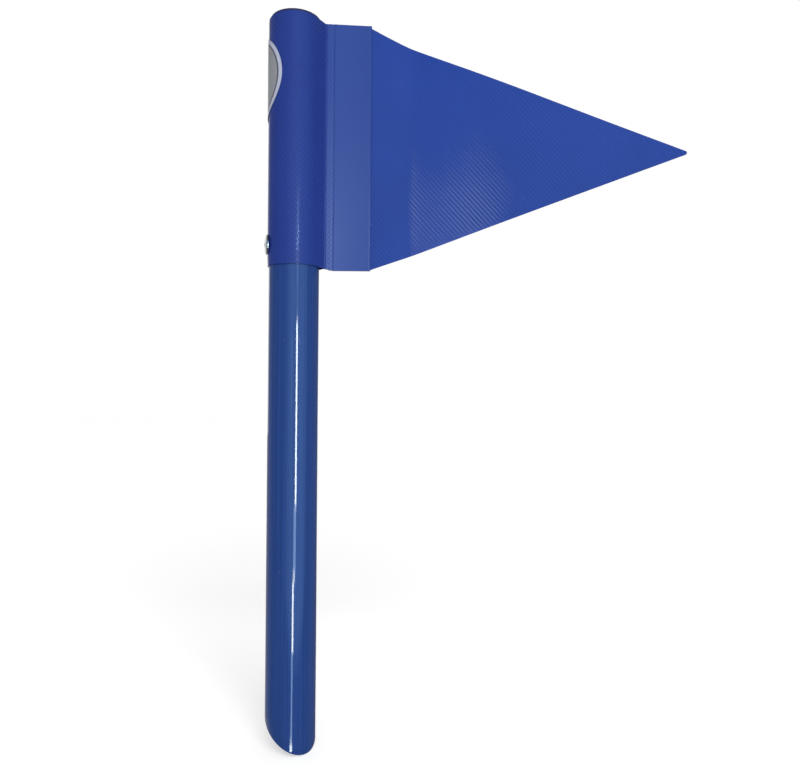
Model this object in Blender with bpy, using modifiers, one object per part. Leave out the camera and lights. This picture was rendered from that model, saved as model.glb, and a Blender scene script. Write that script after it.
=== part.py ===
"""Marker flag: a slant-cut tubular post with a cloth pennant in a wrapped and riveted sleeve.

Units are metres and +Z is up. The origin lies on the post's axis, level with the post's lowest point.
The pennant lies in the XZ plane with its tip towards +X. Headings are angles about +Z from +X.
"""

from math import acos, atan2, cos, hypot, pi, radians, sin, sqrt, tan

import bmesh
import bpy
from mathutils import Matrix, Vector

# Post
POST_DIAMETER = 0.0320
POST_WALL = 0.0024
POST_HEIGHT = 0.4606
POST_TOP_CHAMFER = 0.0003
POST_SAWN_ROUNDING = 0.00025
MITRE_SLOPE = radians(36.7)
MITRE_HEADING = radians(-41.0)  # side on which the post reaches lowest

# End plug
PLUG_CAP_THICKNESS = 0.0020
PLUG_CAP_ROUNDING = 0.0007
PLUG_BARREL_LENGTH = 0.0180
PLUG_BARREL_WALL = 0.0017
PLUG_FIN_COUNT = 4
PLUG_FIN_REACH = 0.0022
PLUG_FIN_EDGE = 0.0007
PLUG_FIN_ROOT = 0.0016
PLUG_LEAD_IN = 0.0012

# Cloth
CLOTH_THICKNESS = 0.0006
SLEEVE_HEIGHT = 0.1573
SLEEVE_THROAT = 0.0030  # from the post's surface to the crease where front and back meet
CREASE_RADIUS = 0.0015
FLAP_WIDTH = 0.0295
FLAP_TOP_FALL = 0.0012
PENNANT_HOIST = 0.1544
PENNANT_FLY = 0.2054  # from the flaps' edge to where the two long edges would meet
PENNANT_TUCK = 0.0265
PENNANT_TOP_SETBACK = 0.0012
PENNANT_TIP_RADIUS = 0.0010

# Label
LABEL_DIAMETER = 0.0540
LABEL_THICKNESS = 0.0002
LABEL_HEADING = radians(160.0)
LABEL_BELOW_TOP = 0.0370  # from the sleeve's top edge to the label's centre

# Blind rivet
RIVET_HEADING = radians(-161.0)
RIVET_ABOVE_EDGE = 0.0151  # from the sleeve's lower edge to the rivet's axis
RIVET_FLANGE_DIAMETER = 0.0125
RIVET_FLANGE_EDGE = 0.0005
RIVET_DOME_HEIGHT = 0.0019
RIVET_SHANK_DIAMETER = 0.0040
RIVET_WALL = 0.0007
RIVET_BULB_DIAMETER = 0.0062
RIVET_BULB_LENGTH = 0.0034
RIVET_TAIL_LENGTH = 0.0012
MANDREL_HEAD_LENGTH = 0.0018
MANDREL_BREAK_DEPTH = 0.0006

# Fits
SEAT_GAP = 0.0003  # between pieces that rest on, or pass through, each other

# Facets
POST_STEPS = 96
PLUG_STEPS = 64
RIVET_STEPS = 32
RIVET_DOME_RINGS = 6
RIVET_BULB_RINGS = 8
MANDREL_HEAD_RINGS = 6
ARC_STEP = radians(3.75)
MERGE_DISTANCE = 0.00001

POST_RADIUS = POST_DIAMETER / 2
BORE_RADIUS = POST_RADIUS - POST_WALL
SLEEVE_INNER_RADIUS = POST_RADIUS + SEAT_GAP
SLEEVE_OUTER_RADIUS = SLEEVE_INNER_RADIUS + CLOTH_THICKNESS
SLEEVE_BOTTOM = POST_HEIGHT - SLEEVE_HEIGHT
CREASE_X = POST_RADIUS + SLEEVE_THROAT
HOIST_X = CREASE_X + FLAP_WIDTH
RIVET_HEIGHT = SLEEVE_BOTTOM + RIVET_ABOVE_EDGE


def display_colour(red, green, blue):
    """Return display values from 0 to 255 as a linear RGBA colour."""
    def linear(value):
        share = value / 255
        return share / 12.92 if share <= 0.04045 else ((share + 0.055) / 1.055) ** 2.4
    return (linear(red), linear(green), linear(blue), 1.0)


def make_material(name, colour, roughness, metallic=0.0):
    """Create a Principled material."""
    material = bpy.data.materials.new(name)
    material.use_nodes = True
    shader = material.node_tree.nodes["Principled BSDF"]
    shader.inputs["Base Color"].default_value = colour
    shader.inputs["Roughness"].default_value = roughness
    shader.inputs["Metallic"].default_value = metallic
    material.diffuse_color = colour
    return material


def clear_scene():
    """Remove every object that the scene holds."""
    for old in list(bpy.data.objects):
        bpy.data.objects.remove(old, do_unlink=True)


def make_collection(name):
    """Create a collection in the scene."""
    collection = bpy.data.collections.new(name)
    bpy.context.scene.collection.children.link(collection)
    return collection


def add_object(name, data, collection, material=None):
    """Put mesh or curve data into the scene as a named object."""
    piece = bpy.data.objects.new(name, data)
    collection.objects.link(piece)
    if material is not None:
        data.materials.append(material)
    return piece


def mesh_from(name, bm):
    """Turn a bmesh into mesh data and free it."""
    mesh = bpy.data.meshes.new(name)
    bm.to_mesh(mesh)
    bm.free()
    return mesh


def smooth(piece, sharp_angle=radians(35)):
    """Shade a mesh smooth apart from its sharp edges."""
    piece.data.shade_smooth()
    piece.data.set_sharp_from_angle(angle=sharp_angle)


def wire(points, closed=False):
    """Return a bmesh with edges along (x, z) points in the XZ plane."""
    bm = bmesh.new()
    verts = [bm.verts.new((x, 0.0, z)) for x, z in points]
    for first, second in zip(verts, verts[1:]):
        bm.edges.new((first, second))
    if closed:
        bm.edges.new((verts[-1], verts[0]))
    return bm


def turned(name, points, steps, collection, material, closed=False):
    """Turn a profile, which runs down its outer side, round the Z axis."""
    piece = add_object(name, mesh_from(name, wire(points, closed)), collection, material)
    screw = piece.modifiers.new("Turn", "SCREW")
    screw.axis = "Z"
    screw.angle = 2 * pi
    screw.steps = steps
    screw.render_steps = steps
    screw.use_merge_vertices = True
    screw.merge_threshold = MERGE_DISTANCE
    screw.use_smooth_shade = True
    return piece


def cut(piece, cutter):
    """Subtract a cutter from a piece."""
    boolean = piece.modifiers.new(f"Cut {cutter.name}", "BOOLEAN")
    boolean.operation = "DIFFERENCE"
    boolean.solver = "EXACT"
    boolean.object = cutter


def hide_cutter(cutter):
    """Show a cutter as wire only."""
    cutter.hide_render = True
    cutter.display_type = "WIRE"


def point_on_heading(radius, heading, height):
    """Return the point at a radius and heading from the post's axis."""
    return Vector((radius * cos(heading), radius * sin(heading), height))


def along_heading(piece, heading, height, radius=0.0):
    """Aim a piece's own +Z outwards along a heading, its origin at a radius from the axis."""
    piece.rotation_euler = (0.0, pi / 2, heading)
    piece.location = point_on_heading(radius, heading, height)


def fillet(before, corner, after, radius):
    """Return the points of an arc that rounds a corner between two straight runs."""
    corner = Vector(corner)
    towards_before = (Vector(before) - corner).normalized()
    towards_after = (Vector(after) - corner).normalized()
    half_angle = acos(max(-1.0, min(1.0, towards_before.dot(towards_after)))) / 2
    setback = radius / tan(half_angle)
    centre = corner + (towards_before + towards_after).normalized() * (radius / sin(half_angle))
    start = corner + towards_before * setback - centre
    turn = pi - 2 * half_angle
    if start.x * (corner - centre).y - start.y * (corner - centre).x < 0:
        turn = -turn
    steps = max(2, round(abs(turn) / (2 * ARC_STEP)))
    arc = []
    for step in range(steps + 1):
        angle = turn * step / steps
        arc.append((
            centre.x + start.x * cos(angle) - start.y * sin(angle),
            centre.y + start.x * sin(angle) + start.y * cos(angle),
        ))
    return arc


def mitre_cutter(cutters):
    """Make the block whose top face is the slanting saw cut at the post's foot."""
    size = 4 * POST_DIAMETER
    bm = bmesh.new()
    bmesh.ops.create_cube(bm, size=size, matrix=Matrix.Translation((0.0, 0.0, -size / 2)))
    cutter = add_object("mitre_cut", mesh_from("mitre_cut", bm), cutters)
    cutter.rotation_euler = (0.0, MITRE_SLOPE, MITRE_HEADING)
    cutter.location = (0.0, 0.0, POST_RADIUS * tan(MITRE_SLOPE))
    hide_cutter(cutter)
    return cutter


def rivet_hole_cutter(cutters):
    """Make the drill that opens the sleeve and one wall of the post for the rivet."""
    depth = SLEEVE_OUTER_RADIUS + CLOTH_THICKNESS
    bm = bmesh.new()
    bmesh.ops.create_cone(
        bm,
        cap_ends=True,
        segments=RIVET_STEPS,
        radius1=RIVET_SHANK_DIAMETER / 2 + SEAT_GAP,
        radius2=RIVET_SHANK_DIAMETER / 2 + SEAT_GAP,
        depth=depth,
        matrix=Matrix.Translation((0.0, 0.0, depth / 2)),
    )
    cutter = add_object("rivet_hole", mesh_from("rivet_hole", bm), cutters)
    along_heading(cutter, RIVET_HEADING, RIVET_HEIGHT)
    hide_cutter(cutter)
    return cutter


def make_post(parts, mitre, rivet_hole):
    """Turn the post's wall, saw its foot at a slant and drill it for the rivet."""
    chamfer = POST_TOP_CHAMFER
    wall = [
        (BORE_RADIUS + chamfer, POST_HEIGHT),
        (POST_RADIUS - chamfer, POST_HEIGHT),
        (POST_RADIUS, POST_HEIGHT - chamfer),
        (POST_RADIUS, -POST_RADIUS),
        (BORE_RADIUS, -POST_RADIUS),
        (BORE_RADIUS, POST_HEIGHT - chamfer),
    ]
    material = make_material("post_gloss_blue", display_colour(38, 68, 128), 0.2)
    post = turned("post_tube", wall, POST_STEPS, parts, material, closed=True)
    cut(post, mitre)
    rounding = post.modifiers.new("Sawn edge", "BEVEL")
    rounding.width = POST_SAWN_ROUNDING
    rounding.segments = 2
    rounding.limit_method = "ANGLE"
    rounding.angle_limit = radians(40)
    cut(post, rivet_hole)


def plug_profile():
    """Return the plug's outline: the cap's crown, the finned barrel and the hollow inside it."""
    seat = POST_HEIGHT + SEAT_GAP
    top = seat + PLUG_CAP_THICKNESS
    fin_radius = BORE_RADIUS - SEAT_GAP
    barrel_radius = fin_radius - PLUG_FIN_REACH
    hollow_radius = barrel_radius - PLUG_BARREL_WALL
    foot = POST_HEIGHT - PLUG_BARREL_LENGTH
    outline = [(0.0, top)]
    outline += fillet((0.0, top), (POST_RADIUS, top), (POST_RADIUS, seat), PLUG_CAP_ROUNDING)
    outline += [(POST_RADIUS, seat), (barrel_radius, seat)]
    pitch = PLUG_BARREL_LENGTH / (PLUG_FIN_COUNT + 1)
    for fin in range(PLUG_FIN_COUNT):
        middle = POST_HEIGHT - pitch * (fin + 1)
        outline += [
            (barrel_radius, middle + PLUG_FIN_ROOT / 2),
            (fin_radius, middle + PLUG_FIN_EDGE / 2),
            (fin_radius, middle - PLUG_FIN_EDGE / 2),
            (barrel_radius, middle - PLUG_FIN_ROOT / 2),
        ]
    outline += [
        (barrel_radius, foot + PLUG_LEAD_IN),
        (barrel_radius - PLUG_LEAD_IN / 2, foot),
        (hollow_radius, foot),
        (hollow_radius, seat),
        (0.0, seat),
    ]
    return outline


def make_end_plug(parts):
    """Turn the push-in plug that closes the post's top."""
    material = make_material("plug_dark_blue", display_colour(38, 40, 84), 0.5)
    turned("end_plug", plug_profile(), PLUG_STEPS, parts, material)


def sleeve_half_section():
    """Return (x, y) points along half of the cloth's middle line, from behind the post to the flap's edge."""
    radius = SLEEVE_INNER_RADIUS + CLOTH_THICKNESS / 2
    flap_y = CLOTH_THICKNESS + SEAT_GAP
    crease = (CREASE_X, flap_y)
    leave = atan2(flap_y, CREASE_X) + acos(radius / hypot(*crease))
    steps = round((pi - leave) / ARC_STEP)
    points = []
    for step in range(steps + 1):
        angle = pi - (pi - leave) * step / steps
        points.append((radius * cos(angle), radius * sin(angle)))
    points[0] = (-radius, 0.0)
    points += fillet(points[-1], crease, (HOIST_X, flap_y), CREASE_RADIUS)
    points.append((HOIST_X, flap_y))
    return points


def sleeve_top(x):
    """Return the height of the sleeve's top edge, which falls away along the flap."""
    return POST_HEIGHT - FLAP_TOP_FALL * max(0.0, x - CREASE_X) / FLAP_WIDTH


def make_sleeve(parts, rivet_hole):
    """Wrap the cloth round the post and bring its two ends together as flaps."""
    bm = bmesh.new()
    verts = [bm.verts.new((x, y, SLEEVE_BOTTOM)) for x, y in sleeve_half_section()]
    edges = [bm.edges.new(pair) for pair in zip(verts, verts[1:])]
    raised = bmesh.ops.extrude_edge_only(bm, edges=edges)["geom"]
    for vert in (item for item in raised if isinstance(item, bmesh.types.BMVert)):
        vert.co.z = sleeve_top(vert.co.x)
    bmesh.ops.recalc_face_normals(bm, faces=bm.faces)
    material = make_material("sleeve_coated_cloth", display_colour(45, 68, 150), 0.45)
    sleeve = add_object("sleeve", mesh_from("sleeve", bm), parts, material)
    smooth(sleeve)
    mirror = sleeve.modifiers.new("Back half", "MIRROR")
    mirror.use_axis = (False, True, False)
    mirror.merge_threshold = MERGE_DISTANCE
    shell = sleeve.modifiers.new("Cloth", "SOLIDIFY")
    shell.thickness = CLOTH_THICKNESS
    shell.offset = 0.0
    shell.use_even_offset = True
    cut(sleeve, rivet_hole)


def pennant_outline():
    """Return the pennant's (x, z) outline: a tongue for the flaps, then a triangle with a rounded tip."""
    top = sleeve_top(HOIST_X) - PENNANT_TOP_SETBACK
    bottom = top - PENNANT_HOIST
    tip = (HOIST_X + PENNANT_FLY, (top + bottom) / 2)
    inner = HOIST_X - PENNANT_TUCK
    outline = [(inner, bottom), (HOIST_X, bottom)]
    outline += fillet((HOIST_X, bottom), tip, (HOIST_X, top), PENNANT_TIP_RADIUS)
    outline += [(HOIST_X, top), (inner, top)]
    return outline


def make_pennant(parts):
    """Cut the flat pennant, which stands in the mid-plane between the flaps."""
    outline = pennant_outline()
    curve = bpy.data.curves.new("pennant", "CURVE")
    curve.dimensions = "2D"
    curve.fill_mode = "BOTH"
    curve.extrude = CLOTH_THICKNESS / 2
    spline = curve.splines.new("POLY")
    spline.points.add(len(outline) - 1)
    for point, (x, z) in zip(spline.points, outline):
        point.co = (x, z, 0.0, 1.0)
    spline.use_cyclic_u = True
    material = make_material("pennant_coated_cloth", display_colour(46, 72, 156), 0.42)
    pennant = add_object("pennant", curve, parts, material)
    pennant.rotation_euler = (pi / 2, 0.0, 0.0)


def make_round_label(parts):
    """Bend a thin disc round the sleeve, on the side away from the pennant."""
    radius = LABEL_DIAMETER / 2
    bend_radius = SLEEVE_OUTER_RADIUS + SEAT_GAP
    height = POST_HEIGHT - LABEL_BELOW_TOP
    bm = bmesh.new()
    bmesh.ops.create_circle(bm, cap_ends=True, segments=POST_STEPS, radius=radius)
    strips = round(2 * radius / (bend_radius * ARC_STEP))
    for strip in range(1, strips):
        bmesh.ops.bisect_plane(
            bm,
            geom=bm.verts[:] + bm.edges[:] + bm.faces[:],
            dist=MERGE_DISTANCE,
            plane_co=(-radius + 2 * radius * strip / strips, 0.0, 0.0),
            plane_no=(1.0, 0.0, 0.0),
        )
    for vert in bm.verts:
        heading = LABEL_HEADING + vert.co.x / bend_radius
        vert.co = point_on_heading(bend_radius, heading, height + vert.co.y)
    material = make_material("label_film", display_colour(205, 208, 216), 0.5)
    label = add_object("round_label", mesh_from("round_label", bm), parts, material)
    smooth(label)
    film = label.modifiers.new("Film", "SOLIDIFY")
    film.thickness = LABEL_THICKNESS
    film.offset = 1.0


def rivet_levels():
    """Return heights along the rivet's axis, from the post's axis: the flange's seat and the bulb's top."""
    bulb_radius = RIVET_BULB_DIAMETER / 2
    seat = SLEEVE_OUTER_RADIUS + SEAT_GAP
    bulb_top = sqrt(BORE_RADIUS ** 2 - bulb_radius ** 2) - SEAT_GAP
    return seat, bulb_top


def rivet_profile():
    """Return the rivet's outline: domed flange, shank, set bulb and tail, with the mandrel's hole."""
    seat, bulb_top = rivet_levels()
    hole_radius = RIVET_SHANK_DIAMETER / 2 - RIVET_WALL
    shank_radius = RIVET_SHANK_DIAMETER / 2
    flange_radius = RIVET_FLANGE_DIAMETER / 2
    bulb_radius = RIVET_BULB_DIAMETER / 2
    rim = seat + RIVET_FLANGE_EDGE
    crown = RIVET_DOME_HEIGHT - RIVET_FLANGE_EDGE
    outline = []
    for ring in range(RIVET_DOME_RINGS + 1):
        radius = hole_radius + (flange_radius - hole_radius) * ring / RIVET_DOME_RINGS
        outline.append((radius, rim + crown * sqrt(1 - (radius / flange_radius) ** 2)))
    outline += [(flange_radius, seat), (shank_radius, seat), (shank_radius, bulb_top)]
    swell = bulb_radius - shank_radius
    for ring in range(1, RIVET_BULB_RINGS):
        share = ring / RIVET_BULB_RINGS
        outline.append((
            shank_radius + swell * sin(pi * share) ** 0.5,
            bulb_top - RIVET_BULB_LENGTH * share,
        ))
    bulb_foot = bulb_top - RIVET_BULB_LENGTH
    outline += [
        (shank_radius, bulb_foot),
        (shank_radius, bulb_foot - RIVET_TAIL_LENGTH),
        (hole_radius, bulb_foot - RIVET_TAIL_LENGTH),
    ]
    return outline


def mandrel_profile():
    """Return the mandrel's outline: the broken pin in the rivet's hole and the head under its tail."""
    seat, bulb_top = rivet_levels()
    pin_radius = RIVET_SHANK_DIAMETER / 2 - RIVET_WALL - SEAT_GAP
    head_radius = RIVET_SHANK_DIAMETER / 2
    broken_end = seat + RIVET_DOME_HEIGHT - MANDREL_BREAK_DEPTH
    head_top = bulb_top - RIVET_BULB_LENGTH - RIVET_TAIL_LENGTH - SEAT_GAP
    outline = [(0.0, broken_end), (pin_radius, broken_end - SEAT_GAP), (pin_radius, head_top)]
    for ring in range(MANDREL_HEAD_RINGS + 1):
        angle = pi / 2 * ring / MANDREL_HEAD_RINGS
        outline.append((head_radius * cos(angle), head_top - MANDREL_HEAD_LENGTH * sin(angle)))
    outline[-1] = (0.0, head_top - MANDREL_HEAD_LENGTH)
    return outline


def make_rivet(parts):
    """Turn the blind rivet and its mandrel and set them through the sleeve and the post's wall."""
    aluminium = make_material("rivet_aluminium", display_colour(198, 200, 204), 0.3, metallic=1.0)
    body = turned("rivet_body", rivet_profile(), RIVET_STEPS, parts, aluminium, closed=True)
    along_heading(body, RIVET_HEADING, RIVET_HEIGHT)
    steel = make_material("mandrel_steel", display_colour(120, 122, 126), 0.4, metallic=1.0)
    mandrel = turned("rivet_mandrel", mandrel_profile(), RIVET_STEPS, parts, steel)
    along_heading(mandrel, RIVET_HEADING, RIVET_HEIGHT)


def main():
    """Model the marker flag."""
    clear_scene()
    parts = make_collection("marker_flag")
    cutters = make_collection("cutters")
    mitre = mitre_cutter(cutters)
    rivet_hole = rivet_hole_cutter(cutters)
    make_post(parts, mitre, rivet_hole)
    make_end_plug(parts)
    make_sleeve(parts, rivet_hole)
    make_pennant(parts)
    make_round_label(parts)
    make_rivet(parts)


main()
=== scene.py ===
"""Marker flag: a slant-cut tubular post with a coated-cloth pennant in a wrapped and riveted sleeve.

Units are metres and +Z is up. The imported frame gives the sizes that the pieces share, and each class adds
the sizes of its own details. Headings are angles about +Z from +X. Every mesh carries the attribute
"own_place", which holds each point's place on the flat cloth, the flat label or the upright turned piece.
"""

import logging
from dataclasses import dataclass
from enum import Enum
from math import acos, atan2, ceil, copysign, cos, hypot, pi, radians, sin, sqrt, tan
from typing import Callable, ClassVar, Sequence

import bmesh
import bpy
from bmesh.types import BMEdge, BMesh, BMVert
from bpy.types import Material, Node, NodeSocket as Socket, NodeTree, Object
from mathutils import Matrix, Vector


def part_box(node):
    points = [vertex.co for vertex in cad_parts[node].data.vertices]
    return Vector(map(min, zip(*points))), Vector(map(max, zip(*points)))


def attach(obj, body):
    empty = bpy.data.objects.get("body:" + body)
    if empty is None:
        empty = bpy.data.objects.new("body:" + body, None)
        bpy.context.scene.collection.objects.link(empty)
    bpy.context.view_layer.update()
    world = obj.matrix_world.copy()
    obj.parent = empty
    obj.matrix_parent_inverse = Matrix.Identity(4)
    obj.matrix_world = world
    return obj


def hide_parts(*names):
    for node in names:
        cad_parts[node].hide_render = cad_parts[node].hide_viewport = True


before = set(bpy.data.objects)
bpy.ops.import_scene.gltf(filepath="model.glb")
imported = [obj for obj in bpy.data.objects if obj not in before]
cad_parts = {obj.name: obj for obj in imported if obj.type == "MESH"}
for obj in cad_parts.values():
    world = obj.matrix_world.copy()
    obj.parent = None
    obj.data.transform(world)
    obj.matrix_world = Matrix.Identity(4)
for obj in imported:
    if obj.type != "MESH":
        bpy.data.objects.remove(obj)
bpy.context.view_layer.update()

LOG = logging.getLogger("marker_flag")
BODY = "root"
OWN_PLACE = "own_place"
MERGE_DISTANCE = 0.000001

Colour = tuple[float, float, float]
Profile = Sequence[tuple[float, float]]


class Layer(Enum):
    """Which of the two thread systems of the cloth a value belongs to."""

    WARP = "warp"
    WEFT = "weft"


# Mesh tools


def own_layer(bm: BMesh) -> bmesh.types.BMLayerItem:
    """Return the layer that holds each point's own place, made if need be."""
    layers = bm.verts.layers.float_vector
    return layers.get(OWN_PLACE) or layers.new(OWN_PLACE)


def record_own_place(bm: BMesh, place: Callable[[Vector], Vector] | None = None) -> None:
    """Write each vertex's own place into the mesh.

    Args:
        bm: the mesh that is being built.
        place: gives the own place for a vertex position. Without it the position itself is kept.
    """
    layer = own_layer(bm)
    for vert in bm.verts:
        vert[layer] = vert.co.copy() if place is None else place(vert.co)


def finished(name: str, bm: BMesh, material: Material, sharp: float = 35.0) -> Object:
    """Turn a bmesh into a shaded object at the origin.

    Args:
        name: the piece's name.
        bm: its mesh, which is freed.
        material: its finish.
        sharp: the angle in degrees above which an edge stays sharp.

    Returns:
        The new object, linked to the scene.
    """
    mesh = bpy.data.meshes.new(name)
    bm.to_mesh(mesh)
    bm.free()
    mesh.shade_smooth()
    mesh.set_sharp_from_angle(angle=radians(sharp))
    mesh.materials.append(material)
    piece = bpy.data.objects.new(name, mesh)
    bpy.context.scene.collection.objects.link(piece)
    return piece


def spun(profile: Profile, steps: int, closed: bool = False) -> BMesh:
    """Spin an (x, z) profile a full turn round the Z axis.

    Args:
        profile: the points, from the top down the outer side.
        steps: the facets round the axis.
        closed: whether the last point joins the first.

    Returns:
        A mesh with its doubles merged and its faces pointing out.
    """
    bm = bmesh.new()
    own_layer(bm)
    verts = [bm.verts.new((x, 0.0, z)) for x, z in profile]
    pairs = list(zip(verts, verts[1:]))
    if closed:
        pairs.append((verts[-1], verts[0]))
    edges = [bm.edges.new(pair) for pair in pairs]
    bmesh.ops.spin(
        bm, geom=verts + edges, cent=(0, 0, 0), axis=(0, 0, 1), angle=2 * pi, steps=steps, use_merge=True
    )
    bmesh.ops.remove_doubles(bm, verts=bm.verts, dist=MERGE_DISTANCE)
    bmesh.ops.dissolve_degenerate(bm, edges=bm.edges, dist=MERGE_DISTANCE)
    bmesh.ops.recalc_face_normals(bm, faces=bm.faces)
    return bm


def thicken(piece: Object, thickness: float, offset: float, sharp: float = 50.0) -> None:
    """Give a sheet its thickness and make that its mesh, with the cut edges sharp.

    Args:
        piece: the object whose mesh is a single surface.
        thickness: the sheet's thickness.
        offset: 0 to thicken both ways, 1 to thicken along the normals only.
        sharp: the angle in degrees above which an edge stays sharp.
    """
    shell = piece.modifiers.new("Thickness", "SOLIDIFY")
    shell.thickness = thickness
    shell.offset = offset
    shell.use_even_offset = True
    solid = bpy.data.meshes.new_from_object(piece.evaluated_get(bpy.context.evaluated_depsgraph_get()))
    piece.modifiers.clear()
    piece.data = solid
    solid.shade_smooth()
    solid.set_sharp_from_angle(angle=radians(sharp))


def chain(bm: BMesh, points: Sequence[Vector]) -> list[BMEdge]:
    """Join points by edges, in order, and return the edges."""
    verts = [bm.verts.new(point) for point in points]
    return [bm.edges.new(pair) for pair in zip(verts, verts[1:])]


def sliced(bm: BMesh, place: Vector, direction: Vector, clear: bool = False) -> list[BMVert | BMEdge]:
    """Cut a whole mesh by a plane.

    Args:
        bm: the mesh.
        place: a point on the plane.
        direction: the plane's normal.
        clear: whether what lies behind the plane goes.

    Returns:
        The vertices and edges that lie on the cut.
    """
    everything = bm.verts[:] + bm.edges[:] + bm.faces[:]
    cut = bmesh.ops.bisect_plane(
        bm, geom=everything, dist=MERGE_DISTANCE, plane_co=place, plane_no=direction, clear_inner=clear
    )
    return cut["geom_cut"]


def arc_corner(before: Vector, corner: Vector, after: Vector, radius: float, steps: int) -> list[Vector]:
    """Round a corner between two straight runs in a plane.

    Args:
        before: a point on the run that comes in.
        corner: where the runs would meet.
        after: a point on the run that goes out.
        radius: the arc's radius.
        steps: how many parts the arc has.

    Returns:
        The arc's points, from one run to the other.
    """
    inward = (before - corner).normalized()
    onward = (after - corner).normalized()
    half = acos(max(-1.0, min(1.0, inward.dot(onward)))) / 2
    centre = corner + (inward + onward).normalized() * (radius / sin(half))
    start = corner + inward * (radius / tan(half)) - centre
    turn = pi - 2 * half
    normal = (corner - before).cross(after - corner).normalized()
    return [centre + Matrix.Rotation(turn * step / steps, 3, normal) @ start for step in range(steps + 1)]


def smooth_step(value: float, low: float, high: float) -> float:
    """Return 0 below low, 1 above high and an S-shaped rise between them."""
    share = max(0.0, min(1.0, (value - low) / (high - low)))
    return share * share * (3 - 2 * share)


def display_colour(red: float, green: float, blue: float) -> Colour:
    """Return display values from 0 to 255 as a linear colour."""
    shares = (value / 255 for value in (red, green, blue))
    return tuple(share / 12.92 if share <= 0.04045 else ((share + 0.055) / 1.055) ** 2.4 for share in shares)


def scaled(colour: Colour, share: float) -> Colour:
    """Return a colour made lighter or darker by a share."""
    return tuple(channel * share for channel in colour)


# Shading tools


class Wiring:
    """Adds nodes to one node tree and joins them."""

    def __init__(self, tree: NodeTree) -> None:
        """Keep the tree that the nodes go into."""
        self.tree = tree

    def add(self, kind: str, **settings: object) -> Node:
        """Add a node of a kind and set its properties."""
        node = self.tree.nodes.new(kind)
        for name, value in settings.items():
            setattr(node, name, value)
        return node

    def feed(self, socket: Socket, value: object) -> None:
        """Join another node's output to a socket, or set the socket's own value."""
        if isinstance(value, Socket):
            self.tree.links.new(value, socket)
        elif socket.type == "RGBA" and len(value) == 3:
            socket.default_value = (*value, 1.0)
        else:
            socket.default_value = value

    def feed_all(self, node: Node, **values: object) -> Node:
        """Feed a node's inputs, whose names are given with _ for a space, and return the node."""
        for name, value in values.items():
            self.feed(node.inputs[name.replace("_", " ")], value)
        return node

    def maths(self, operation: str, *values: object, clamp: bool = False) -> Socket:
        """Add a Math node and return its result."""
        node = self.add("ShaderNodeMath", operation=operation, use_clamp=clamp)
        for socket, value in zip(node.inputs, values):
            self.feed(socket, value)
        return node.outputs[0]

    def times(self, first: object, second: object, clamp: bool = False) -> Socket:
        """Multiply two values."""
        return self.maths("MULTIPLY", first, second, clamp=clamp)

    def times_plus(self, first: object, second: object, third: object, clamp: bool = False) -> Socket:
        """Multiply two values and add a third."""
        return self.maths("MULTIPLY_ADD", first, second, third, clamp=clamp)

    def minus(self, first: object, second: object) -> Socket:
        """Take the second value from the first."""
        return self.maths("SUBTRACT", first, second)

    def larger(self, first: object, second: object, clamp: bool = False) -> Socket:
        """Return the larger of two values."""
        return self.maths("MAXIMUM", first, second, clamp=clamp)

    def vector(self, operation: str, *values: object) -> Socket:
        """Add a Vector Math node and return its vector, or its number for a dot product or a length."""
        node = self.add("ShaderNodeVectorMath", operation=operation)
        for socket, value in zip(node.inputs, values):
            self.feed(socket, value)
        return node.outputs["Value" if operation in ("DOT_PRODUCT", "LENGTH") else "Vector"]

    def parts(self, vector: Socket) -> list[Socket]:
        """Split a vector into its x, y and z."""
        node = self.add("ShaderNodeSeparateXYZ")
        self.feed(node.inputs[0], vector)
        return list(node.outputs)

    def join(self, x: object = 0.0, y: object = 0.0, z: object = 0.0) -> Socket:
        """Make a vector from x, y and z."""
        node = self.add("ShaderNodeCombineXYZ")
        for socket, value in zip(node.inputs, (x, y, z)):
            self.feed(socket, value)
        return node.outputs[0]

    def rise(self, value: object, low: object, high: object, start: float = 0.0, end: float = 1.0) -> Socket:
        """Map a value smoothly from start below low to end above high."""
        node = self.add("ShaderNodeMapRange", interpolation_type="SMOOTHSTEP")
        return self.feed_all(node, Value=value, From_Min=low, From_Max=high, To_Min=start, To_Max=end).outputs[0]

    def colour(self, share: object, first: object, second: object) -> Socket:
        """Mix two colours."""
        node = self.add("ShaderNodeMix", data_type="RGBA")
        for index, value in ((0, share), (6, first), (7, second)):
            self.feed(node.inputs[index], value)
        return node.outputs[2]

    def noise(self, place: object, scale: float, detail: float = 2.0, roughness: float = 0.5) -> Socket:
        """Add a noise and return its value."""
        node = self.add("ShaderNodeTexNoise")
        return self.feed_all(node, Vector=place, Scale=scale, Detail=detail, Roughness=roughness).outputs[0]

    def group(self, tree: NodeTree, **values: object) -> dict[str, Socket]:
        """Place a node group, feed its inputs and return its outputs by name."""
        node = self.feed_all(self.add("ShaderNodeGroup", node_tree=tree), **values)
        return {socket.name: socket for socket in node.outputs}

    def bump(self, height: object, depth: float, strength: float = 1.0, under: object = None) -> Socket:
        """Turn a height into a normal, over another normal if one is given."""
        node = self.add("ShaderNodeBump")
        self.feed_all(node, Strength=strength, Distance=depth, Height=height)
        if under is not None:
            self.feed(node.inputs["Normal"], under)
        return node.outputs[0]


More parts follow.
